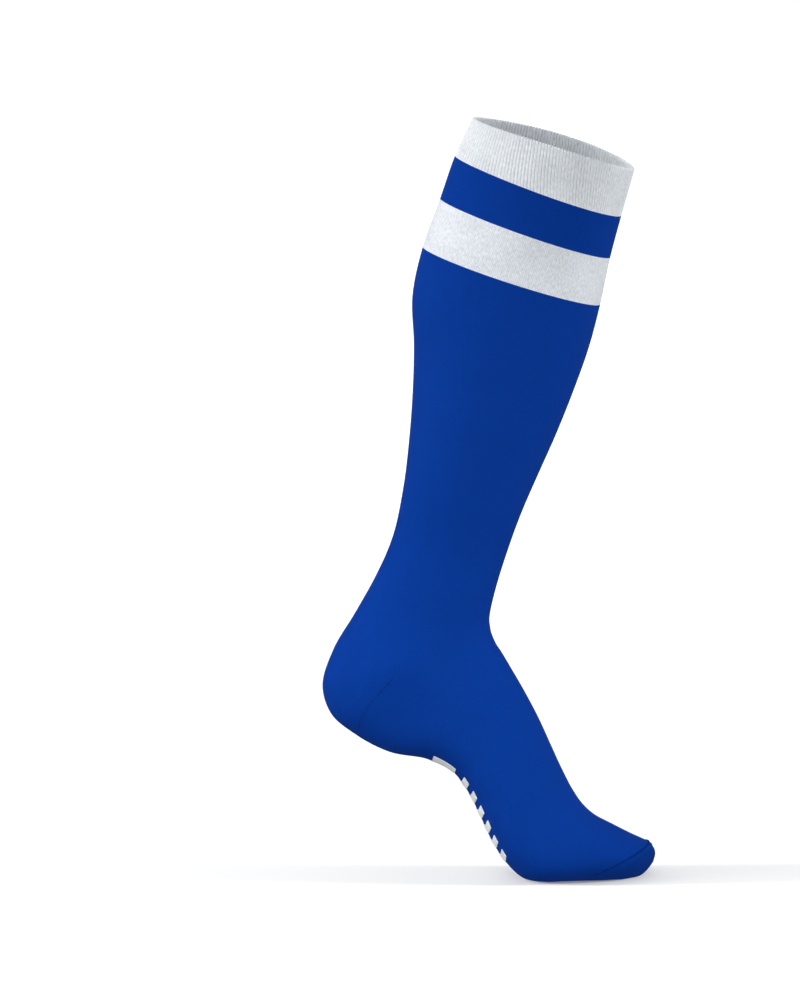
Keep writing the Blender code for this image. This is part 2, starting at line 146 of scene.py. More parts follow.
FOOT_ROWS = (
    FootRow("crease", 0.022, 0.904, 0.500, 1.000, "heel", 0.96, 2.10, 0.05, 0.00),
    FootRow("heel back", -0.008, 0.772, 0.505, 0.972, "heel", 1.00, 2.10, 0.08, 0.00),
    FootRow("heel tip", 0.018, 0.656, 0.517, 0.936, "heel", 0.99, 2.15, 0.10, 0.00),
    FootRow("heel base", 0.094, 0.572, 0.535, 0.900, "heel", 0.98, 2.15, 0.12, -0.02),
    FootRow("heel front", 0.193, 0.506, 0.562, 0.840, "heel", 0.97, 2.20, 0.12, -0.06),
    FootRow("arch back", 0.303, 0.480, 0.601, 0.752, "ball", 0.695, 2.20, 0.12, -0.10),
    FootRow("arch", 0.379, 0.435, 0.644, 0.645, "ball", 0.735, 2.25, 0.13, -0.12),
    FootRow("arch middle", 0.427, 0.359, 0.683, 0.532, "ball", 0.80, 2.30, 0.15, -0.10),
    FootRow("arch front", 0.468, 0.254, 0.719, 0.428, "ball", 0.865, 2.30, 0.17, -0.06),
    FootRow("ball back", 0.504, 0.153, 0.752, 0.344, "ball", 0.925, 2.35, 0.18, 0.00),
    FootRow("ball rise", 0.545, 0.069, 0.783, 0.286, "ball", 0.98, 2.40, 0.18, 0.04),
    FootRow("ball", 0.597, 0.006, 0.820, 0.243, "ball", 1.00, 2.40, 0.18, 0.08),
    FootRow("toe roots", 0.655, -0.010, 0.868, 0.209, "ball", 0.99, 2.40, 0.18, 0.14),
    FootRow("toes", 0.700, -0.011, 0.924, 0.171, "ball", 0.95, 2.25, 0.14, 0.22),
    FootRow("toe seam", 0.734, -0.014, 0.980, 0.136, "ball", 0.89, 2.10, 0.08, 0.34),
    FootRow("toe cap", 0.842, -0.014, 0.9925, 0.116, "ball", 0.80, 2.10, 0.06, 0.52),
    FootRow("toe front", 0.909, -0.012, 0.999, 0.096, "ball", 0.61, 2.15, 0.06, 0.70),
    FootRow("toe nose", 0.964, 0.010, 0.999, 0.075, "ball", 0.36, 2.10, 0.05, 0.88),
    FootRow("toe tip", 0.994, 0.048, 0.994, 0.048, "ball", 0.00, 2.00, 0.00, 1.00),
)

# Columns of the section array
BACK_X, BACK_Z, FRONT_X, FRONT_Z, WIDTH, SQUARE, EGG, ASIDE = range(8)


@dataclass(frozen=True)
class SockForm:
    """The sock's sizes, and the smooth tube that they give."""

    leg_length: float = 0.3099
    cuff_depth: float = 0.108
    cuff_width: float = 0.090
    mouth_crown: float = 0.0025
    calf_depth: float = 0.1185
    calf_width: float = 0.097
    ankle_depth: float = 0.0735
    ankle_width: float = 0.058
    foot_length: float = 0.210
    crease_height: float = 0.160
    heel_width: float = 0.066
    ball_width: float = 0.095
    toe_turn: float = 0.017
    cuff_height: float = 0.0292
    upper_stripe_height: float = 0.0282
    lower_stripe_height: float = 0.0317
    ankle_bone_rise: float = 0.004
    ankle_bone_spread: float = 0.019
    # Each ankle bone's section, its side and its share of the way from back to front
    ankle_bones: tuple[tuple[str, int, float], ...] = (("heel back", -1, 0.42), ("crease", 1, 0.50))
    floor_softness: float = 0.0008
    ring_samples: int = 256

    @property
    def floor_z(self) -> float:
        """The height of the floor under the sole."""
        return -(self.leg_length + self.crease_height)

    @property
    def mouth_x(self) -> float:
        """How far the middle of the mouth lies ahead of the back of the heel."""
        return self.foot_length * FOOT_ROWS[0].top_x + self.leg_length * LEG_ROWS[0].forward

    def leg_section(self, row: LegRow) -> list[float]:
        """Works out one row of the leg.

        Args:
            row: The row of the leg's table.

        Returns:
            The eight numbers of the section.
        """
        depths = {"cuff": self.cuff_depth, "calf": self.calf_depth, "ankle": self.ankle_depth}
        widths = {"cuff": self.cuff_width, "calf": self.calf_width, "ankle": self.ankle_width}
        half = depths[row.follows] * row.depth / 2
        tilt = math.radians(row.tilt)
        ahead = self.leg_length * (row.forward - LEG_ROWS[0].forward)
        height = self.leg_length * (row.height - 1)
        run, rise = half * math.cos(tilt), half * math.sin(tilt)
        width = widths[row.follows] * row.width
        back, front = [ahead - run, height - rise], [ahead + run, height + rise]
        return [*back, *front, width, row.square, row.egg, 0.0]

    def foot_section(self, row: FootRow) -> list[float]:
        """Works out one row of the heel or foot.

        Args:
            row: The row of the foot's table.

        Returns:
            The eight numbers of the section.
        """
        widths = {"heel": self.heel_width, "ball": self.ball_width}
        return [
            self.foot_length * row.sole_x - self.mouth_x,
            self.floor_z + self.crease_height * row.sole_z,
            self.foot_length * row.top_x - self.mouth_x,
            self.floor_z + self.crease_height * row.top_z,
            widths[row.follows] * row.width,
            row.square,
            row.egg,
            self.toe_turn * row.aside,
        ]

    def sections(self) -> np.ndarray:
        """Every section from the mouth to the toes, one to a line."""
        leg = [self.leg_section(row) for row in LEG_ROWS]
        return np.array(leg + [self.foot_section(row) for row in FOOT_ROWS])

    def section_stations(self) -> np.ndarray:
        """The station of every section, counted down the middle of the tube."""
        table = self.sections()
        return walked_along((table[:, [BACK_X, BACK_Z]] + table[:, [FRONT_X, FRONT_Z]]) / 2)

    def station_of(self, name: str, share: float = 0.0) -> float:
        """Finds a named section of the foot.

        Args:
            name: The row's name in the foot's table, any but the last.
            share: The part of the way on to the next row.

        Returns:
            The station.
        """
        stations = self.section_stations()
        index = len(LEG_ROWS) + [row.name for row in FOOT_ROWS].index(name)
        return float(stations[index] + share * (stations[index + 1] - stations[index]))

    def blend(self, wanted: np.ndarray) -> np.ndarray:
        """Blends the sections smoothly at any stations.

        Args:
            wanted: The stations.

        Returns:
            One section for each station.
        """
        table, stations = self.sections(), self.section_stations()
        steps = np.diff(stations)[:, None]
        rates = np.diff(table, axis=0) / steps
        inner = (rates[:-1] * steps[1:] + rates[1:] * steps[:-1]) / (steps[:-1] + steps[1:])
        slopes = np.vstack([rates[:1], inner, rates[-1:]])
        index = np.clip(np.searchsorted(stations, wanted) - 1, 0, len(stations) - 2)
        step = steps[index]
        t = (wanted - stations[index])[:, None] / step
        start = table[index] * (2 * t**3 - 3 * t**2 + 1)
        start += slopes[index] * step * (t**3 - 2 * t**2 + t)
        end = table[index + 1] * (3 * t**2 - 2 * t**3)
        end += slopes[index + 1] * step * (t**3 - t**2)
        return start + end

    def ring(self, section: np.ndarray, shares: np.ndarray) -> np.ndarray:
        """Picks points round one section at even lengths of its outline.

        Args:
            section: The eight numbers of the section.
            shares: The shares of the way round.

        Returns:
            One point for each share.
        """
        angle = np.linspace(0.0, 2 * math.pi, self.ring_samples + 1)
        power = 2 / section[SQUARE]
        along = -np.sign(np.cos(angle)) * np.abs(np.cos(angle)) ** power
        across = -np.sign(np.sin(angle)) * np.abs(np.sin(angle)) ** power
        half_width = max(section[WIDTH], 0.0) / 2 * (1 - section[EGG] * along)
        back, front = section[[BACK_X, BACK_Z]], section[[FRONT_X, FRONT_Z]]
        x, z = ((back + front) / 2)[:, None] + ((front - back) / 2)[:, None] * along
        over = z - self.floor_z
        z = self.floor_z + (over + np.sqrt(over**2 + self.floor_softness**2)) / 2
        points = np.column_stack([x, section[ASIDE] + half_width * across, z])
        walked = walked_along(points)
        return values_at((shares % 1.0) * walked[-1], walked, points)

    def bone_rise(self, points: np.ndarray) -> np.ndarray:
        """Measures how far the two ankle bones push the knit out.

        Args:
            points: Points of the plain tube, in any arrangement.

        Returns:
            The rise at each point.
        """
        rise = np.zeros(points.shape[:-1])
        for name, side, ahead in self.ankle_bones:
            section = self.blend(np.array([self.station_of(name)]))[0]
            back, front = section[[BACK_X, BACK_Z]], section[[FRONT_X, FRONT_Z]]
            x, z = back + ahead * (front - back)
            bone = np.array([x, side * section[WIDTH] / 2, z])
            away = np.linalg.norm(points - bone, axis=-1) / self.ankle_bone_spread
            rise += self.ankle_bone_rise * np.exp(-(away**2))
        return rise


@dataclass
class KnitField:
    """The finely divided surface that every piece is cut from."""

    form: SockForm
    columns: int = 224
    margin: float = 0.005
    fine_step: float = 0.0004
    row_samples: int = 800
    column_samples: int = 16
    stations: np.ndarray = field(init=False)
    points: np.ndarray = field(init=False)
    normals: np.ndarray = field(init=False)
    lengths: np.ndarray = field(init=False)

    @property
    def shares(self) -> np.ndarray:
        """The shares of the columns all the way round."""
        return np.arange(self.columns) / self.columns

    def __post_init__(self) -> None:
        """Works out points, outward directions and knitted lengths over the whole tube."""
        end = self.form.section_stations()[-1]
        self.stations = np.arange(-self.margin, end, self.fine_step)
        sections = self.form.blend(self.stations)
        plain = np.array([self.form.ring(section, self.shares) for section in sections])
        normals = self.directions(plain)
        self.points = plain + normals * self.form.bone_rise(plain)[..., None]
        self.normals = self.directions(self.points)
        steps = np.linalg.norm(np.diff(self.points, axis=0), axis=2)
        self.lengths = np.vstack([np.zeros((1, self.columns)), np.cumsum(steps, axis=0)])

    @staticmethod
    def directions(points: np.ndarray) -> np.ndarray:
        """Finds the outward direction at every point of a closed grid.

        Args:
            points: Rows of rings.

        Returns:
            One unit vector for each point.
        """
        down = np.gradient(points, axis=0)
        around = np.roll(points, -1, axis=1) - np.roll(points, 1, axis=1)
        return unit(np.cross(down, around))

    def sample(self, values: np.ndarray, stations: np.ndarray, shares: np.ndarray) -> np.ndarray:
        """Reads a grid of values between its rows and columns.

        Args:
            values: One of the field's grids.
            stations: The wanted stations.
            shares: The wanted shares, as many as the stations.

        Returns:
            The blended values.
        """
        # Kept just under the last row, so that there is always a next one
        last = len(self.stations) - 1.001
        row = np.clip((stations - self.stations[0]) / self.fine_step, 0, last)
        column = (shares % 1.0) * self.columns
        r, c = np.floor(row).astype(int), np.floor(column).astype(int) % self.columns
        fr, fc = row - r, column - np.floor(column)
        if values.ndim == 3:
            fr, fc = fr[..., None], fc[..., None]
        after = (c + 1) % self.columns
        near = values[r, c] * (1 - fc) + values[r, after] * fc
        far = values[r + 1, c] * (1 - fc) + values[r + 1, after] * fc
        return near * (1 - fr) + far * fr

    def place(
        self, stations: np.ndarray, shares: np.ndarray, lift: np.ndarray | float
    ) -> np.ndarray:
        """Gives points at a height over the surface.

        Args:
            stations: The wanted stations.
            shares: The wanted shares, as many as the stations.
            lift: How far outside the surface the points lie.

        Returns:
            The points.
        """
        normals = unit(self.sample(self.normals, stations, shares))
        return self.sample(self.points, stations, shares) + normals * np.asarray(lift)[..., None]

    def rows(self, first: float, last: float, step: float) -> np.ndarray:
        """Spaces rows so that none lies further from the next than a set length of surface.

        Args:
            first: The station of the first row.
            last: The station of the last row.
            step: The longest length of surface between rows.

        Returns:
            The rows' stations.
        """
        fine = np.linspace(first, last, self.row_samples)
        shares = np.arange(self.column_samples) / self.column_samples
        grid = np.meshgrid(fine, shares, indexing="ij")
        points = self.sample(self.points, *grid)
        longest = np.linalg.norm(np.diff(points, axis=0), axis=2).max(axis=1)
        walked = np.concatenate([[0.0], np.cumsum(longest)])
        count = max(2, math.ceil(walked[-1] / step))
        return np.interp(np.linspace(0.0, walked[-1], count + 1), walked, fine)

    def girth(self, station: float, samples: int) -> float:
        """Measures the way round at one station.

        Args:
            station: The station.
            samples: How many points it is measured with.

        Returns:
            The length.
        """
        ring = self.sample(self.points, np.full(samples, station), np.linspace(0, 1, samples))
        return float(np.linalg.norm(np.diff(ring, axis=0), axis=1).sum())


class Grid(NamedTuple):
    """Points of a surface in rows and columns, with a place in the knit for each."""

    points: np.ndarray
    knit: np.ndarray
    keeps: np.ndarray
    joined: bool


@dataclass(frozen=True)
class Loom:
    """Turns grids into finished mesh objects."""

    sharp_degrees: float = 50.0

    @staticmethod
    def link(name: str, points: np.ndarray, polygons: list, uvs: np.ndarray) -> bpy.types.Object:
        """Makes an object of points and faces.

        Args:
            name: The piece's name.
            points: The points.
            polygons: For each face, the numbers of its points.
            uvs: The place in the knit of every corner of the faces, in the faces' order.

        Returns:
            The object, linked to the scene.
        """
        data = bpy.data.meshes.new(name)
        data.from_pydata(points.tolist(), [], polygons)
        layer = data.uv_layers.new(name=UV_NAME)
        layer.data.foreach_set("uv", uvs.astype(np.float32).ravel())
        data.update()
        return add_object(name, data)

    def mesh(
        self, name: str, grid: Grid, tip: np.ndarray | None = None, capped: bool = False
    ) -> bpy.types.Object:
        """Makes a mesh object from a grid.

        Args:
            name: The piece's name.
            grid: The grid. A joined grid's last column of knit places has no points of its own.
            tip: A point that closes the last row, or None.
            capped: Whether a face closes the first row and another the last.

        Returns:
            The object, linked to the scene.
        """
        rows, columns = grid.points.shape[:2]
        cells = columns if grid.joined else columns - 1
        number = np.arange(rows * columns).reshape(rows, columns)
        right = np.roll(number, -1, axis=1)
        faces = np.stack([number[:-1], number[1:], right[1:], right[:-1]], axis=-1)[:, :cells]
        knit = grid.knit
        corners = np.stack([knit[:-1, :-1], knit[1:, :-1], knit[1:, 1:], knit[:-1, 1:]], axis=2)
        points = grid.points.reshape(-1, 3)
        polygons = faces[grid.keeps].tolist()
        uvs = corners[grid.keeps].reshape(-1, 2)
        if tip is not None:
            points = np.vstack([points, tip])
            polygons += [[int(a), len(points) - 1, int(b)] for a, b in zip(number[-1], right[-1])]
            middle = (knit[-1, :-1] + knit[-1, 1:]) / 2
            fans = np.stack([knit[-1, :-1], middle, knit[-1, 1:]], axis=1)
            uvs = np.vstack([uvs, fans.reshape(-1, 2)])
        if capped:
            polygons += [number[0].tolist(), number[-1, ::-1].tolist()]
            uvs = np.vstack([uvs, np.zeros((2 * columns, 2))])
        used = np.zeros(len(points), dtype=bool)
        used[[index for polygon in polygons for index in polygon]] = True
        new = np.cumsum(used) - 1
        polygons = [[int(new[index]) for index in polygon] for polygon in polygons]
        return self.link(name, points[used], polygons, uvs)

    @staticmethod
    def sweep(path: np.ndarray, out: np.ndarray, sizes: np.ndarray, sides: int) -> np.ndarray:
        """Sweeps a round section along a path.

        Args:
            path: The points of the path.
            out: The outward direction at each point.
            sizes: The section's radius at each point.
            sides: How many points go round the section.

        Returns:
            A ring of points for each point of the path.
        """
        across = np.cross(out, unit(np.gradient(path, axis=0)))
        turns = -2 * math.pi * np.arange(sides) / sides
        leans = [out * math.cos(turn) + across * math.sin(turn) for turn in turns]
        return path[:, None] + np.stack(leans, axis=1) * sizes[:, None, None]

    @staticmethod
    def fix(piece: bpy.types.Object) -> None:
        """Turns a piece's modifiers into fixed mesh.

        Args:
            piece: The object with the modifiers.
        """
        bpy.context.view_layer.update()
        shown = piece.evaluated_get(bpy.context.evaluated_depsgraph_get())
        fixed = bpy.data.meshes.new_from_object(shown)
        piece.modifiers.clear()
        plain = piece.data
        piece.data = fixed
        bpy.data.meshes.remove(plain)
        fixed.name = piece.name

    def smooth(self, piece: bpy.types.Object) -> None:
        """Shades a piece smoothly, apart from its hard rims."""
        piece.data.shade_smooth()
        piece.data.set_sharp_from_angle(angle=math.radians(self.sharp_degrees))

    def weave(
        self, name: str, grid: Grid, wall: float, tip: np.ndarray | None = None
    ) -> bpy.types.Object:
        """Makes a smooth piece with a wall from a grid.

        Args:
            name: The piece's name.
            grid: The grid of its surface.
            wall: The wall, inwards from the surface, or outwards where it is negative.
            tip: A point that closes the last row, or None.

        Returns:
            The object.
        """
        piece = self.mesh(name, grid, tip)
        solidify = piece.modifiers.new("Wall", "SOLIDIFY")
        solidify.thickness = wall
        solidify.offset = -1.0
        self.fix(piece)
        self.smooth(piece)
        return piece


class NodeBench:
    """Lays out the shader nodes of one finish, or of the studio's surroundings."""

    def __init__(self, owner: bpy.types.Material | bpy.types.World, shader: str) -> None:
        """Starts the layout.

        Args:
            owner: The material or world that gets the nodes.
            shader: The name of the shader node that it comes with.
        """
        owner.use_nodes = True
        self.owner = owner
        self.tree = owner.node_tree
        self.shader = self.tree.nodes[shader]

    def fill(self, node: bpy.types.Node, values: dict[str | int, object]) -> None:
        """Fills some of a node's inputs.

        Args:
            node: The node.
            values: A socket, number or colour for each input, by its name or place in the list.
        """
        for key, value in values.items():
            if isinstance(value, bpy.types.NodeSocket):
                self.tree.links.new(value, node.inputs[key])
            else:
                node.inputs[key].default_value = value

    def add(self, kind: str, values: dict[str | int, object], **settings: object) -> bpy.types.Node:
        """Adds a node.

        Args:
            kind: The node's type name.
            values: What fills its inputs.
            settings: Values for the node's own properties.

        Returns:
            The node.
        """
        node = self.tree.nodes.new(kind)
        for name, value in settings.items():
            setattr(node, name, value)
        self.fill(node, values)
        return node

    def math(self, operation: str, *values: object) -> bpy.types.NodeSocket:
        """Adds a Math node with sockets or numbers for its inputs."""
        return self.add("ShaderNodeMath", dict(enumerate(values)), operation=operation).outputs[0]

    def mix(self, share: object, first: object, second: object) -> bpy.types.NodeSocket:
        """Mixes two colours, with a share of the second."""
        values = {"Factor": share, 6: first, 7: second}
        return self.add("ShaderNodeMix", values, data_type="RGBA").outputs[2]

    def noise(
        self, vector: bpy.types.NodeSocket, scale: float, detail: float
    ) -> bpy.types.NodeSocket:
        """Adds soft noise, about 0.5 on average."""
        values = {"Vector": vector, "Scale": scale, "Detail": detail}
        return self.add("ShaderNodeTexNoise", values).outputs[0]

    def span(
        self, value: bpy.types.NodeSocket, limits: tuple[float, ...], kind: str
    ) -> bpy.types.NodeSocket:
        """Brings a value from one range to another.

        Args:
            value: The value's socket.
            limits: The least and the most of the first range, then of the second.
            kind: How it changes between them.

        Returns:
            The result's socket.
        """
        values = dict(zip(("From Min", "From Max", "To Min", "To Max"), limits))
        node = self.add("ShaderNodeMapRange", {"Value": value, **values}, interpolation_type=kind)
        return node.outputs["Result"]

    def place(self, kind: str) -> bpy.types.NodeSocket:
        """Reads the place on the object or in the surroundings."""
        return self.add("ShaderNodeTexCoord", {}).outputs[kind]

    def knit(self) -> bpy.types.NodeSocket:
        """Reads the place in the knit, in stitch columns round the sock and courses down it."""
        return self.add("ShaderNodeUVMap", {}, uv_map=UV_NAME).outputs[0]

    def split(self, vector: bpy.types.NodeSocket) -> list[bpy.types.NodeSocket]:
        """Splits a vector into its three numbers."""
        return list(self.add("ShaderNodeSeparateXYZ", {0: vector}).outputs)


@dataclass(frozen=True)
class KnitFinish:
    """A plain knit of one yarn, with its stitches, flecks and soft sheen."""

    name: str
    colour: tuple[float, float, float]
    # Painted shade: the yarn's colour down in the recesses between the loops, where shade falls
    recess_shade: tuple[float, float, float]
    fleck: float
    bump_height: float
    rib_shade: float = 0.0
    fleck_grain: tuple[float, float, float] = (0.9, 0.38, 1.0)
    fleck_detail: float = 2.0
    cloud_scale: float = 38.0
    cloud_detail: float = 3.0
    loop_roundness: float = 2.5
    loop_wave: float = 0.28
    stitch_lean: float = 0.55
    fuzz: float = 0.35
    sheen_tint: tuple[float, float, float] = (1.0, 1.0, 1.0)
    roughness: float = 0.84
    fleck_roughness: float = 0.12
    sheen: float = 0.04
    sheen_roughness: float = 0.4
    gloss: float = 0.015

    def stitches(self, bench: NodeBench) -> bpy.types.NodeSocket:
        """Draws columns of slanted stitch legs.

        Args:
            bench: The node bench of the finish.

        Returns:
            The stitch height, 0 in the recesses and 1 on the loops.
        """
        column, course, _ = bench.split(bench.knit())
        from_middle = bench.math("SUBTRACT", bench.math("FRACT", column), 0.5)
        edge = bench.math("MULTIPLY", bench.math("ABSOLUTE", from_middle), 2.0)
        dome = bench.math("SUBTRACT", 1.0, bench.math("POWER", edge, self.loop_roundness))
        slant = bench.math("SUBTRACT", course, bench.math("MULTIPLY", edge, self.stitch_lean))
        swing = bench.math("COSINE", bench.math("MULTIPLY", slant, 2 * math.pi))
        wave = bench.math("MULTIPLY_ADD", swing, self.loop_wave, 1 - self.loop_wave)
        return bench.math("MULTIPLY", dome, wave)

    def flecks(self, bench: NodeBench) -> bpy.types.NodeSocket:
        """Draws short streaks of lighter and darker yarn along the stitch columns.

        Args:
            bench: The node bench of the finish.

        Returns:
            The streaks' value, about 0.5 on average.
        """
        grain = {0: bench.knit(), 1: self.fleck_grain}
        stretched = bench.add("ShaderNodeVectorMath", grain, operation="MULTIPLY").outputs[0]
        return bench.noise(stretched, 1.0, self.fleck_detail)

    def rib_groove_shade(self, bench: NodeBench) -> bpy.types.NodeSocket:
        """Paints shade into the grooves between the ribs.

        Args:
            bench: The node bench of the finish.

        Returns:
            The brightness, 1 on the ribs.
        """
        turn = bench.math("MULTIPLY", bench.split(bench.knit())[0], 2 * math.pi / COLUMNS_A_RIB)
        wave = bench.math("COSINE", turn)
        return bench.math("MULTIPLY_ADD", wave, self.rib_shade / 2, 1 - self.rib_shade / 2)

    def build(self) -> bpy.types.Material:
        """Makes the material.

        Returns:
            The material.
        """
        bench = NodeBench(bpy.data.materials.new(self.name), "Principled BSDF")
        height = self.stitches(bench)
        fleck = self.flecks(bench)
        cloud = bench.noise(bench.place("Object"), self.cloud_scale, self.cloud_detail)
        # Painted shade: the stitch height blends the yarn's colour into the darker recess colour
        # between the loops
        tone = bench.mix(height, (*self.recess_shade, 1.0), (*self.colour, 1.0))
        speck = bench.math("MULTIPLY_ADD", fleck, 2 * self.fleck, 1 - self.fleck)
        drift = bench.math("MULTIPLY_ADD", cloud, self.fleck, 1 - self.fleck / 2)
        # Flecks and clouds vary the yarn's own tone; the rib groove factor paints shade between the
        # ribs
        value = bench.math("MULTIPLY", bench.math("MULTIPLY", speck, drift), self.rib_groove_shade(bench))
        shade = bench.add("ShaderNodeHueSaturation", {"Value": value, "Color": tone})
        fuzz = bench.math("MULTIPLY_ADD", fleck, self.fuzz, height)
        relief = {"Strength": 1.0, "Distance": self.bump_height, "Height": fuzz}
        looks = {
            "Base Color": shade.outputs[0],
            "Roughness": bench.math("MULTIPLY_ADD", fleck, self.fleck_roughness, self.roughness),
            "Normal": bench.add("ShaderNodeBump", relief).outputs[0],
            "Sheen Weight": self.sheen,
            "Sheen Roughness": self.sheen_roughness,
            "Sheen Tint": (*self.sheen_tint, 1.0),
            "Specular IOR Level": self.gloss,
        }
        bench.fill(bench.shader, looks)
        bench.owner.diffuse_color = (*self.colour, 1.0)
        return bench.owner


BLUE_SHEEN = (0.02, 0.14, 0.9)
# The cuff's white yarn, made whiter than the white knit and with lighter recesses: painted light that
# lifts the shade of its ribs and of the cuff's inside
WHITE_RIB = KnitFinish(
    "white_rib_knit", (0.945, 0.96, 0.975), (0.75, 0.78, 0.81), 0.28, 0.00022, rib_shade=0.13
)
WHITE_KNIT = KnitFinish("white_knit", (0.89, 0.905, 0.93), (0.62, 0.65, 0.69), 0.30, 0.00018)
# The bars are white knit; their whiter colour and lighter recesses are painted light for the dim
# underside of the arch
LIT_BAR_WHITE = KnitFinish("lit_white_bar_knit", (0.95, 0.955, 0.96), (0.82, 0.84, 0.86), 0.08, 0.00012)
BLUE_KNIT, SHADED_SEAM_BLUE, GORE_SHADE_BLUE = (
    KnitFinish(name, colour, recess_shade, fleck, bump_height, sheen_tint=BLUE_SHEEN)
    for name, colour, recess_shade, fleck, bump_height in (
        ("royal_blue_knit", (0.0029, 0.048, 0.346), (0.0019, 0.029, 0.212), 0.10, 0.00018),
        # The seam's blue, darker than the knit: painted shade along the crease of the toe seam
        ("royal_blue_seam_shade", (0.0017, 0.026, 0.19), (0.0012, 0.017, 0.12), 0.05, 0.0001),
        # Darker than the knit: painted shade of the small holes along the gore
        ("gore_eyelet_shade", (0.002, 0.020, 0.14), (0.002, 0.014, 0.09), 0.05, 0.0001),
    )
)


@dataclass
class SockPiece:
    """What every knitted piece of the sock shares."""

    field: KnitField
    loom: Loom
    wales: int = 294
    course: float = 0.00095

    def cut(self, stations: np.ndarray, shares: np.ndarray, joined: bool) -> Grid:
        """Cuts a stretch of the surface.

        Args:
            stations: The stations of the rows.
            shares: The shares of the columns.
            joined: Whether the columns run all the way round.

        Returns:
            The grid of the stretch.
        """
        rows, columns = np.meshgrid(stations, shares, indexing="ij")
        points = self.field.sample(self.field.points, rows, columns)
        around = np.append(shares, 1.0) if joined else shares
        rows, columns = np.meshgrid(stations, around, indexing="ij")
        lengths = self.field.sample(self.field.lengths, rows, columns)
        knit = np.stack([columns * self.wales, lengths / self.course], axis=-1)
        keeps = np.ones((len(stations) - 1, len(around) - 1), dtype=bool)
        return Grid(points, knit, keeps, joined)

    def dress(
        self, piece: bpy.types.Object, finish: bpy.types.Material, slot: Slot, *nodes: str
    ) -> None:
        """Gives a piece its finish, hangs it on the root and hides the CAD nodes that it stands for.

        Args:
            piece: The object.
            finish: Its material.
            slot: Not used.
            nodes: The CAD nodes that the piece replaces.
        """
        piece.data.materials.clear()
        piece.data.materials.append(finish)
        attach(piece, "root")
        if nodes:
            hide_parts(*nodes)
        LOG.info("%s: %d faces", piece.name, len(piece.data.polygons))


@dataclass
class RibbedCuff(SockPiece):
    """The white cuff, ribbed outside and inside, with a rounded edge at the mouth."""

    wall: float = 0.0022
    rib_pitch: float = 0.0021
    outer_relief: float = 0.0004
    inner_relief: float = 0.0006
    rim_relief: float = 0.0008
    side_rows: int = 22
    rim_rows: int = 8
    folds: int = 8
    fade: float = 0.0015
    upright: float = 0.34
    crown_reach: float = 0.5
    # How often each wave of rib strength comes round the cuff, where it starts and its size
    strength_waves: tuple[tuple[int, float, float], ...] = (
        (7, 0.6, 1.0),
        (17, 2.1, 0.8),
        (29, 4.0, 0.7),
    )
    strength: float = 0.68
    strength_swing: float = 0.22
    least_strength: float = 0.35
    girth_samples: int = 400
    weld_reach: float = 1e-6

    def profile(self) -> list[tuple[float, float, float, float, float]]:
        """Walks up the outside, over the rim and down the inside.

        Returns:
            For each row its depth below the mouth, its offset from the surface, the outward and
            upward parts of its own outward direction, and the depth of its ribs.
        """
        radius, height = self.wall / 2, self.field.form.cuff_height
        rows = []
        for depth in np.linspace(height, radius, self.side_rows):
            share = min(1.0, (height - depth) / self.fade)
            rows.append((depth, 0.0, 1.0, 0.0, self.outer_relief * share))
        for turn in np.linspace(0.0, math.pi, self.rim_rows + 1)[1:-1]:
            out, up = math.cos(turn), math.sin(turn)
            rows.append((radius - radius * up, radius * (out - 1), out, up, self.rim_relief))
        for depth in np.linspace(radius, height, self.side_rows):
            rows.append((depth, -self.wall, -1.0, 0.0, self.inner_relief))
        return rows

    def rib_strength(self, shares: np.ndarray) -> np.ndarray:
        """Lets some groups of ribs stand out more than others.

        Args:
            shares: The shares round the cuff.

        Returns:
            The strength of the ribs at each share.
        """
        turn = 2 * math.pi * shares
        waves = sum(size * np.sin(often * turn + start) for often, start, size in self.strength_waves)
        return np.clip(self.strength + self.strength_swing * waves, self.least_strength, 1.0)

    def build(self) -> bpy.types.Object:
        """Makes the cuff as one closed body.

        Returns:
            The cuff.
        """
        form = self.field.form
        girth = self.field.girth(0.0, self.girth_samples)
        ribs = round(girth / self.rib_pitch)
        shares = np.arange(ribs * self.folds) / (ribs * self.folds)
        valley = (1 - np.cos(2 * math.pi * ribs * shares)) / 2
        crown = form.mouth_crown * np.sin(2 * math.pi * shares) ** 2
        strength = self.rib_strength(shares)
        sway = self.upright * np.sin(2 * math.pi * shares) / girth
        points, knit, walked = [], [], 0.0
        profile = self.profile()
        for index, (depth, offset, out, up, relief) in enumerate(profile):
            fade = max(0.0, 1 - depth / (self.crown_reach * form.cuff_height))
            lift = -relief * valley * (strength if out == 1.0 else 1.0)
            stations = depth - crown * fade - up * lift
            points.append(self.field.place(stations, shares + sway * depth, offset + out * lift))
            if index:
                before = profile[index - 1]
                walked += math.hypot(depth - before[0], offset - before[1])
            around = np.append(shares, 1.0) * ribs * COLUMNS_A_RIB
            knit.append(np.column_stack([around, np.full(len(around), walked / self.course)]))
        points.append(points[0])
        knit.append(knit[0] + (0, walked / self.course))
        points, knit = np.array(points), np.array(knit)
        keeps = np.ones((len(points) - 1, len(shares)), dtype=bool)
        piece = self.loom.mesh("ribbed_cuff", Grid(points[::-1], knit[::-1], keeps, True))
        piece.modifiers.new("Weld", "WELD").merge_threshold = self.weld_reach
        self.loom.fix(piece)
        self.loom.smooth(piece)
        return piece


@dataclass
class KnitBand(SockPiece):
    """A plain stretch of the leg, such as a stripe."""

    name: str = "band"
    first: float = 0.0
    last: float = 0.0
    wall: float = 0.0016
    row_step: float = 0.0017

    def build(self) -> bpy.types.Object:
        """Makes the band."""
        stations = self.field.rows(self.first, self.last, self.row_step)
        return self.loom.weave(self.name, self.cut(stations, self.field.shares, True), self.wall)


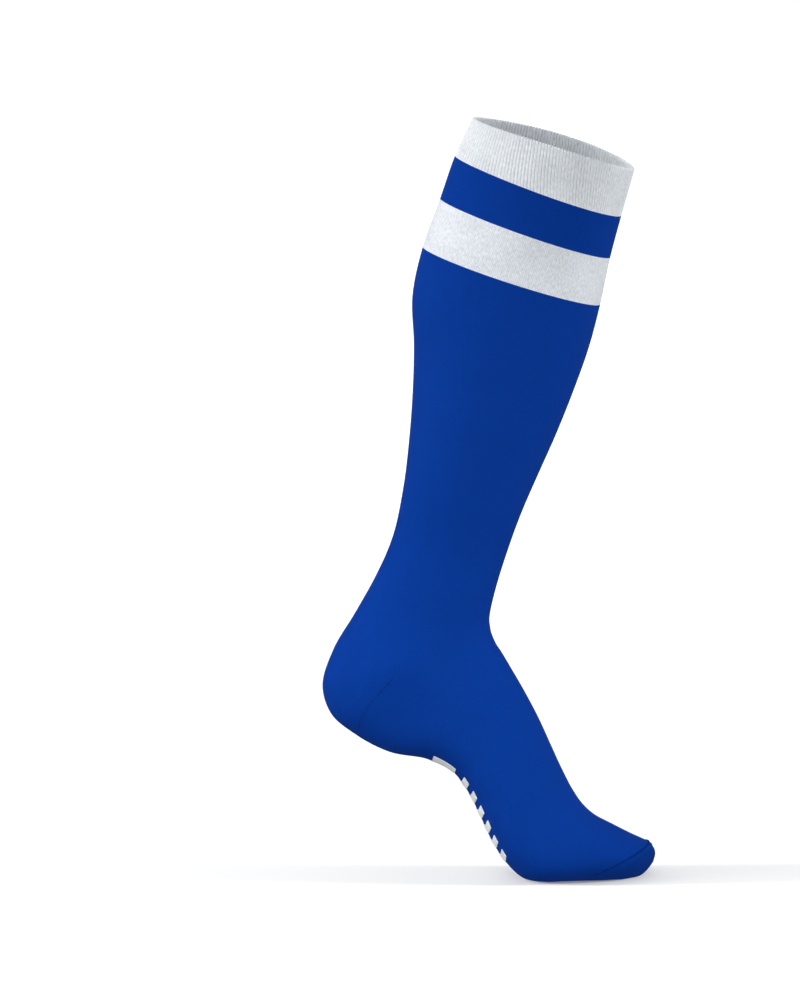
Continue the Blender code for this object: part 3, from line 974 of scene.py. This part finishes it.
@dataclass
class HeelPocket(SockPiece):
    """The turned heel between its two corners."""

    first: float = 0.0
    last: float = 0.0
    corner: float = 7 / 32
    wall: float = 0.0018
    row_step: float = 0.0012

    def build(self) -> bpy.types.Object:
        """Makes the heel pocket.

        Returns:
            The heel pocket.
        """
        half = round(self.corner * self.field.columns)
        shares = np.arange(-half, half + 1) / self.field.columns
        stations = self.field.rows(self.first, self.last, self.row_step)
        return self.loom.weave("heel_pocket", self.cut(stations, shares, False), self.wall)


@dataclass
class FootTube(SockPiece):
    """The foot with the instep's tongue, which runs up past the heel pocket."""

    first: float = 0.0
    heel_end: float = 0.0
    last: float = 0.0
    corner: float = 7 / 32
    wall: float = 0.0018
    row_step: float = 0.0014

    def build(self) -> bpy.types.Object:
        """Makes the foot.

        Returns:
            The foot.
        """
        half = round(self.corner * self.field.columns)
        tongue = self.field.rows(self.first, self.heel_end, self.row_step)
        sole = self.field.rows(self.heel_end, self.last, self.row_step)
        grid = self.cut(np.concatenate([tongue[:-1], sole]), self.field.shares, True)
        grid.keeps[: len(tongue) - 1, :half] = False
        grid.keeps[: len(tongue) - 1, self.field.columns - half :] = False
        return self.loom.weave("foot_tube", grid, self.wall)


@dataclass
class ToeCap(SockPiece):
    """The cap over the toes, closed at its tip."""

    first: float = 0.0
    wall: float = 0.0018
    row_step: float = 0.0012
    tip_gap: float = 0.0003

    def build(self) -> bpy.types.Object:
        """Makes the toe cap.

        Returns:
            The toe cap.
        """
        last = float(self.field.form.section_stations()[-1]) - self.tip_gap
        grid = self.cut(self.field.rows(self.first, last, self.row_step), self.field.shares, True)
        section = self.field.form.sections()[-1]
        tip = np.array([section[FRONT_X], section[ASIDE], section[FRONT_Z]])
        return self.loom.weave("toe_cap_knit", grid, self.wall, tip)


@dataclass
class ToeSeam(SockPiece):
    """The linked seam over the toes, a low ridge of small loops."""

    station: float = 0.0
    end_share: float = 0.2
    radius: float = 0.0005
    lift: float = 0.0001
    loop_pitch: float = 0.0019
    loop_depth: float = 0.14
    taper: float = 0.02
    least_taper: float = 0.02
    stitches_round: int = 4
    steps: int = 620
    sides: int = 12

    def build(self) -> bpy.types.Object:
        """Makes the ridge.

        Returns:
            The ridge.
        """
        shares = np.linspace(self.end_share, 1 - self.end_share, self.steps)
        stations = np.full(self.steps, self.station)
        base = self.field.sample(self.field.points, stations, shares)
        normals = unit(self.field.sample(self.field.normals, stations, shares))
        walked = walked_along(base)
        loops = 1 + self.loop_depth * np.cos(2 * math.pi * walked / self.loop_pitch)
        ends = np.minimum(walked, walked[-1] - walked) / self.taper
        sizes = self.radius * loops * np.sqrt(np.clip(ends, self.least_taper, 1.0))
        points = self.loom.sweep(base, normals, sizes, self.sides) + (normals * self.lift)[:, None]
        around = np.arange(self.sides + 1) / self.sides * self.stitches_round
        knit = np.stack(np.meshgrid(walked / self.loop_pitch, around, indexing="ij")[::-1], axis=-1)
        keeps = np.ones((self.steps - 1, self.sides), dtype=bool)
        grid = Grid(points, knit, keeps, True)
        piece = self.loom.mesh("toe_seam_ridge", grid, capped=True)
        self.loom.smooth(piece)
        return piece


@dataclass
class SoleBars(SockPiece):
    """The plain white bars knitted across the arch of the sole."""

    start: float = 0.0
    count: int = 7
    broad_length: float = 0.0168
    broad_gap: float = 0.0068
    length: float = 0.0056
    gap: float = 0.0049
    first_width: float = 0.048
    last_width: float = 0.066
    lean: float = 0.0028
    lean_reach: float = 0.009
    thickness: float = 0.00035
    lift: float = 0.00008
    across: int = 60
    along: int = 8
    girth_samples: int = 200

    def span(self, number: int) -> tuple[float, float]:
        """Works out where one bar begins and ends along the sole, from the first bar's start.

        Args:
            number: The bar's number, from 0 at the heel's end.

        Returns:
            The distances to the bar's heel side and toe side.
        """
        if number == 0:
            return 0.0, self.broad_length
        near = self.broad_length + self.broad_gap + (number - 1) * (self.length + self.gap)
        return near, near + self.length

    def build(self, number: int) -> bpy.types.Object:
        """Makes one bar.

        Args:
            number: The bar's number, from 0 at the heel's end.

        Returns:
            The bar.
        """
        end = self.field.form.section_stations()[-1]
        fine = np.arange(self.start, end, self.field.fine_step)
        line = self.field.sample(self.field.points, fine, np.zeros(len(fine)))
        first, last = np.interp(self.span(number), walked_along(line), fine)
        girth = self.field.girth(first, self.girth_samples)
        width = self.first_width + (self.last_width - self.first_width) * number / (self.count - 1)
        shares = np.linspace(-1, 1, self.across) * width / 2 / girth
        grid = self.cut(np.linspace(first, last, self.along), shares, False)
        from_tip = (shares[-1] - np.abs(shares)) * girth
        leans = self.lean * np.clip(1 - from_tip / self.lean_reach, 0, 1)
        walk, columns = np.meshgrid(np.linspace(0, 1, self.along), shares, indexing="ij")
        rows = first - leans + (last - first) * walk
        points = self.field.place(rows, columns, np.full(rows.shape, self.lift))
        name = f"sole_bar_knit_{number + 1}"
        return self.loom.weave(name, grid._replace(points=points), -self.thickness)


@dataclass
class GoreStitches(SockPiece):
    """Short dark stitches along the gore, from the heel's corner down to its base: painted shade of
    the gore's small holes.
    """

    corner: tuple[float, float] = (0.3489, 0.2190)
    base: tuple[float, float] = (0.3679, 0.0660)
    pitch: float = 0.0033
    length: float = 0.0024
    radius: float = 0.00034
    least_taper: float = 0.02
    sink: float = 0.00012
    line_samples: int = 400
    steps: int = 9
    sides: int = 8

    def build(self, side: int) -> bpy.types.Object:
        """Makes the row of stitches on one side of the heel.

        Args:
            side: 1 for the outer side of the foot, -1 for the inner side.

        Returns:
            The row of stitches.
        """
        share = np.linspace(0.0, 1.0, self.line_samples)
        stations = self.corner[0] + share * (self.base[0] - self.corner[0])
        shares = side * (self.corner[1] + share * (self.base[1] - self.corner[1]))
        line = self.field.place(stations, shares, -self.sink)
        normals = self.field.sample(self.field.normals, stations, shares)
        walked = walked_along(line)
        sizes = self.radius * np.sqrt(
            np.maximum(1 - np.linspace(-1, 1, self.steps) ** 4, self.least_taper)
        )
        rings = []
        for index in range(int((walked[-1] - self.length) / self.pitch) + 1):
            wanted = np.linspace(0, self.length, self.steps) + index * self.pitch
            path, out = values_at(wanted, walked, line), values_at(wanted, walked, normals)
            rings.append(self.loom.sweep(path, out, sizes, self.sides))
        points = np.array(rings).reshape(-1, 3)
        number = np.arange(len(points)).reshape(-1, self.steps, self.sides)
        right = np.roll(number, -1, axis=2)
        quads = np.stack([number[:, :-1], number[:, 1:], right[:, 1:], right[:, :-1]], axis=-1)
        polygons = quads.reshape(-1, 4).tolist() + number[:, 0].tolist()
        polygons += number[:, -1, ::-1].tolist()
        corners = points[[index for polygon in polygons for index in polygon]]
        name = "outer_gore_eyelet_shade" if side > 0 else "inner_gore_eyelet_shade"
        piece = self.loom.link(name, points, polygons, corners[:, [0, 2]] / self.course)
        self.loom.smooth(piece)
        return piece


@dataclass(frozen=True)
class SoftLight:
    """One soft square light of the studio."""

    name: str
    place: tuple[float, float, float]
    aim: tuple[float, float, float]
    size: float
    power: float
    spread: float = 180.0
    floor_only: bool = False


SOCK_MIDDLE = (-0.0976, 0.0, -0.2284)
FOOT_MIDDLE = (-0.06, 0.0, -0.37)
FLOOR_MIDDLE = (0.0, 0.0, -0.4699)
LIGHTS = (
    SoftLight("key_light", (-2.6, -0.55, 1.2), SOCK_MIDDLE, 1.6, 48.0),
    SoftLight("side_light", (2.5, -0.2, 0.3), SOCK_MIDDLE, 1.4, 25.0),
    SoftLight("low_light", (-0.1, -1.2, -0.05), FOOT_MIDDLE, 0.5, 0.42, spread=30.0),
    SoftLight("left_floor_light", (-2.4, -0.3, 0.12), FLOOR_MIDDLE, 0.35, 120.0, floor_only=True),
    SoftLight("right_floor_light", (2.4, -0.3, 0.12), FLOOR_MIDDLE, 0.35, 120.0, floor_only=True),
)


@dataclass(frozen=True)
class Studio:
    """The plain floor, the soft lights and the camera."""

    form: SockForm
    elevation: float = 6.8
    lens: float = 1200.0
    sensor: float = 36.0
    frame_height: float = 0.635
    sight: float = 100.0
    aim: tuple[float, float, float] = SOCK_MIDDLE
    floor_size: float = 60.0
    floor_roughness: float = 0.8
    floor_gloss: float = 0.1
    floor_white: tuple[float, float, float] = (0.50, 0.50, 0.50)
    glow_near: float = 0.19
    glow_far: float = 0.8
    glow_reach: tuple[float, float] = (0.2, 2.2)
    light_below: float = 0.34
    light_above: float = 0.77
    shade_tint: tuple[float, float, float] = (0.93, 0.965, 1.0)

    def camera(self) -> None:
        """Sets the camera at the photograph's angle."""
        data = bpy.data.cameras.new("camera")
        data.lens = self.lens
        data.sensor_width = self.sensor
        data.clip_end = self.sight
        camera = add_object("camera", data)
        tilt = math.radians(self.elevation)
        back = Vector((0.0, -math.cos(tilt), math.sin(tilt)))
        distance = self.frame_height * self.lens / self.sensor
        camera.location = Vector(self.aim) + back * distance
        point_along(camera, -back)
        bpy.context.scene.camera = camera

    def floor(self) -> bpy.types.Object:
        """Lays the plain pale floor.

        Returns:
            The floor.
        """
        half = self.floor_size / 2
        corners = [(-half, -half, 0.0), (half, -half, 0.0), (half, half, 0.0), (-half, half, 0.0)]
        data = bpy.data.meshes.new("floor")
        data.from_pydata(corners, [], [(0, 1, 2, 3)])
        floor = add_object("floor", data)
        floor.location = (0.0, 0.0, self.form.floor_z)
        bench = NodeBench(bpy.data.materials.new("pale_floor"), "Principled BSDF")
        place = {0: bench.place("Object")}
        away = bench.add("ShaderNodeVectorMath", place, operation="LENGTH").outputs["Value"]
        glow = (*self.glow_reach, self.glow_near, self.glow_far)
        looks = {
            "Base Color": (*self.floor_white, 1.0),
            "Roughness": self.floor_roughness,
            "Specular IOR Level": self.floor_gloss,
            "Emission Color": (1.0, 1.0, 1.0, 1.0),
            "Emission Strength": bench.span(away, glow, "SMOOTHSTEP"),
        }
        bench.fill(bench.shader, looks)
        data.materials.append(bench.owner)
        floor.visible_diffuse = False
        return floor

    def hang(self, soft: SoftLight, floor: bpy.types.Object) -> None:
        """Hangs one soft light.

        Args:
            soft: The light's sizes.
            floor: The floor, which is all that a floor light shines on.
        """
        data = bpy.data.lights.new(soft.name, "AREA")
        data.energy = soft.power
        data.size = soft.size
        data.spread = math.radians(soft.spread)
        light = add_object(soft.name, data)
        light.visible_camera = False
        light.location = soft.place
        point_along(light, Vector(soft.aim) - Vector(soft.place))
        if soft.floor_only:
            lit = bpy.data.collections.new(soft.name + "_shines_on")
            lit.objects.link(floor)
            light.light_linking.receiver_collection = lit

    def surroundings(self) -> None:
        """Surrounds the sock with soft white light, brighter from above than from below."""
        bench = NodeBench(bpy.data.worlds.new("studio_white"), "Background")
        height = bench.split(bench.place("Generated"))[2]
        strength = bench.span(height, (-1.0, 1.0, self.light_below, self.light_above), "LINEAR")
        bench.fill(bench.shader, {"Color": (*self.shade_tint, 1.0), "Strength": strength})
        bpy.context.scene.world = bench.owner

    def build(self) -> None:
        """Sets up the whole studio."""
        self.camera()
        floor = self.floor()
        for soft in LIGHTS:
            self.hang(soft, floor)
        self.surroundings()
        bpy.context.scene.view_settings.view_transform = "Standard"


def main() -> None:
    """Builds the sock from the mouth down to the toes, then the studio."""
    logging.basicConfig(level=logging.INFO, format="%(name)s %(message)s")
    form = SockForm()
    surface = KnitField(form)
    loom = Loom()
    rib, white, blue, gore_shade = (f.build() for f in (WHITE_RIB, WHITE_KNIT, BLUE_KNIT, GORE_SHADE_BLUE))
    shaded_seam_blue, lit_bar_white = SHADED_SEAM_BLUE.build(), LIT_BAR_WHITE.build()
    cuff_end = form.cuff_height
    upper_end = cuff_end + form.upper_stripe_height
    lower_end = upper_end + form.lower_stripe_height
    heel_start = form.station_of("heel back", 0.5)
    heel_end = form.station_of("heel base", 0.7)
    seam = form.station_of("toe seam")

    cuff = RibbedCuff(surface, loom)
    cuff.dress(cuff.build(), rib, Slot.WHITE_RIB, "cuff")
    bands = (
        ("upper_stripe_knit", "upper_stripe", cuff_end, upper_end, blue, Slot.BLUE_KNIT),
        ("lower_stripe_knit", "lower_stripe", upper_end, lower_end, white, Slot.WHITE_KNIT),
        ("leg_knit", "leg", lower_end, heel_start, blue, Slot.BLUE_KNIT),
    )
    for name, node, first, last, finish, slot in bands:
        band = KnitBand(surface, loom, name=name, first=first, last=last)
        band.dress(band.build(), finish, slot, node)
    heel = HeelPocket(surface, loom, first=heel_start, last=heel_end)
    heel.dress(heel.build(), blue, Slot.BLUE_KNIT, "heel")
    foot = FootTube(surface, loom, first=heel_start, heel_end=heel_end, last=seam)
    foot.dress(foot.build(), blue, Slot.BLUE_KNIT, "foot")
    cap = ToeCap(surface, loom, first=seam)
    cap.dress(cap.build(), blue, Slot.BLUE_KNIT, "toe_cap")
    ridge = ToeSeam(surface, loom, station=seam)
    ridge.dress(ridge.build(), shaded_seam_blue, Slot.BLUE_KNIT, "toe_seam")
    bars = SoleBars(surface, loom, start=form.station_of("arch back", 0.15))
    for number in range(bars.count):
        bars.dress(bars.build(number), lit_bar_white, Slot.WHITE_KNIT, f"sole_bar_{number + 1}")
    gore = GoreStitches(surface, loom)
    for side in (1, -1):
        gore.dress(gore.build(side), gore_shade, Slot.BLUE_KNIT)
    Studio(form).build()


if __name__ == "__main__":
    main()
